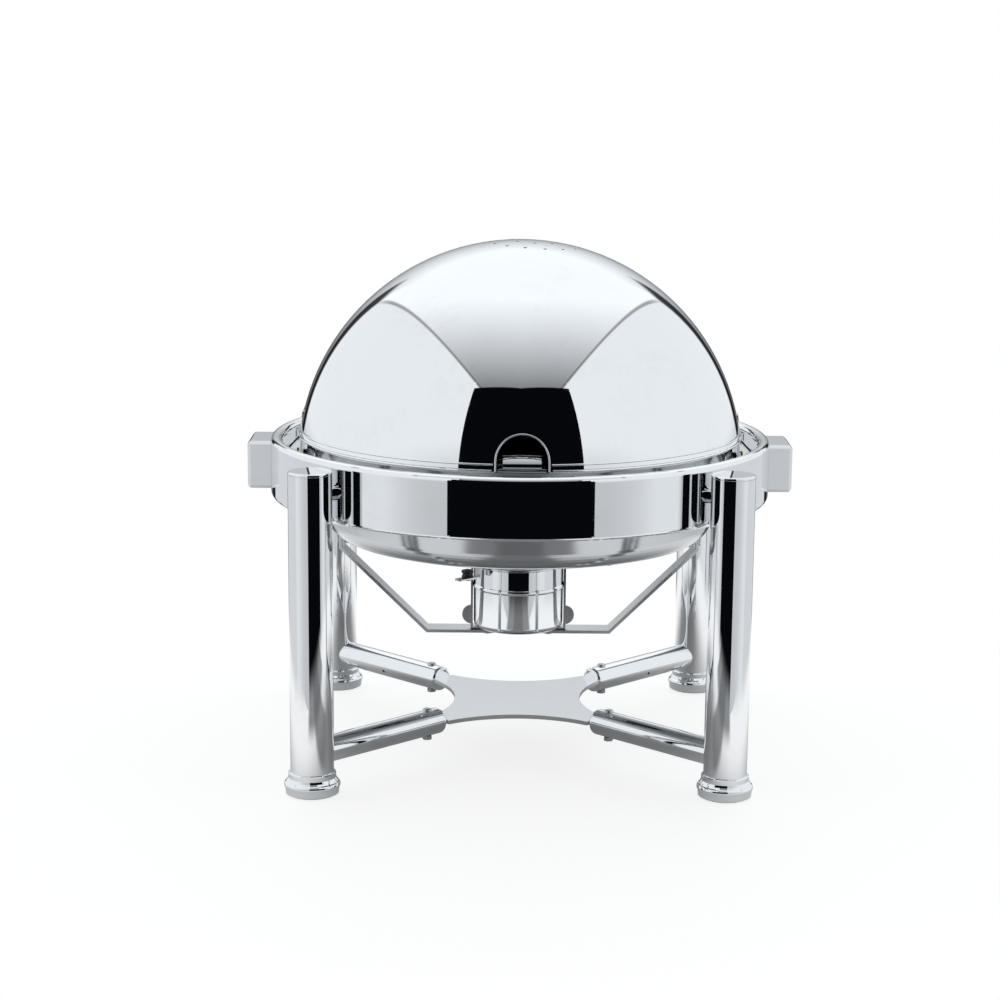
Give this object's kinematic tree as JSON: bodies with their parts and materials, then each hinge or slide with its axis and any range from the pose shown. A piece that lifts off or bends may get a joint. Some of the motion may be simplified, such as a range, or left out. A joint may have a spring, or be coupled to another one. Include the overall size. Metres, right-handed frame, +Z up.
{
  "type": "roll top chafer",
  "caption": "Round buffet chafer with a domed lid that rolls back under its own pan, on a four legged stand with a spirit burner below.",
  "frame": {"origin": "on the table, at the middle of the object's footprint, straight below the middle of the ring", "axes": "+Z up, front (ladle notch) towards -Y, +X to the right along the roll axis"},
  "size_m": [0.524, 0.482, 0.493],
  "materials": {
    "polished_steel": "mirror polished stainless steel",
    "satin_steel": "satin stainless steel",
    "pan_steel": "spun stainless steel, bright",
    "fastener_steel": "zinc plated steel",
    "bush_bronze": "turned bronze",
    "friction_fibre": "pressed fibre",
    "knob_plastic": "black phenolic, satin",
    "foot_rubber": "matt rubber"
  },
  "bodies": {
    "stand": {"collar_ring": "polished_steel", "leg_front_left": "polished_steel", "leg_front_right": "polished_steel", "leg_back_left": "polished_steel", "leg_back_right": "polished_steel", "leg_caps": "polished_steel", "foot_collars": "polished_steel", "foot_pads": "foot_rubber", "leg_spacers": "polished_steel", "leg_bolts": "fastener_steel", "leg_nuts": "fastener_steel", "stretcher_front_left": "polished_steel", "stretcher_front_right": "polished_steel", "stretcher_back_left": "polished_steel", "stretcher_back_right": "polished_steel", "stretcher_end_caps": "polished_steel", "hub_plate": "polished_steel", "hub_screws": "fastener_steel", "hub_nuts": "fastener_steel", "hinge_block_left": "polished_steel", "hinge_block_right": "polished_steel", "block_screws": "fastener_steel", "grub_screws": "fastener_steel", "trunnion_left": "fastener_steel", "trunnion_right": "fastener_steel", "spacer_tubes": "satin_steel", "friction_washers": "friction_fibre", "inner_collars": "satin_steel", "trunnion_bosses": "satin_steel", "stop_pins": "fastener_steel", "water_pan": "pan_steel", "pan_studs": "foot_rubber", "strap_brackets": "satin_steel", "strap_screws": "fastener_steel", "strap_nuts": "fastener_steel", "fuel_strap": "satin_steel", "cup_cradle": "satin_steel", "cradle_screws": "fastener_steel", "fuel_cup": "polished_steel", "damper_rivet": "fastener_steel"},
    "dome": {"dome": "polished_steel", "dome_ear_left": "satin_steel", "dome_ear_right": "satin_steel", "hinge_bushes": "bush_bronze", "ear_rivets": "fastener_steel"},
    "food_pan": {"food_pan": "pan_steel", "pan_lift_tabs": "pan_steel"},
    "damper": {"damper_lid": "satin_steel", "damper_knob": "knob_plastic"}
  },
  "joints": [
    {"name": "dome_roll", "type": "hinge", "parent": "stand", "child": "dome", "pos_m": [0, 0, 0.278], "axis": [-1, 0, 0], "range_deg": [0, 180]},
    {"name": "food_pan_lift", "type": "slide", "parent": "stand", "child": "food_pan", "axis": [0, 0, 1], "range_m": [0, 0.015]},
    {"name": "damper_swing", "type": "hinge", "parent": "stand", "child": "damper", "pos_m": [0.03109, 0.02517, 0.1774], "axis": [0, 0, 1], "range_deg": [0, 90]}
  ]
}
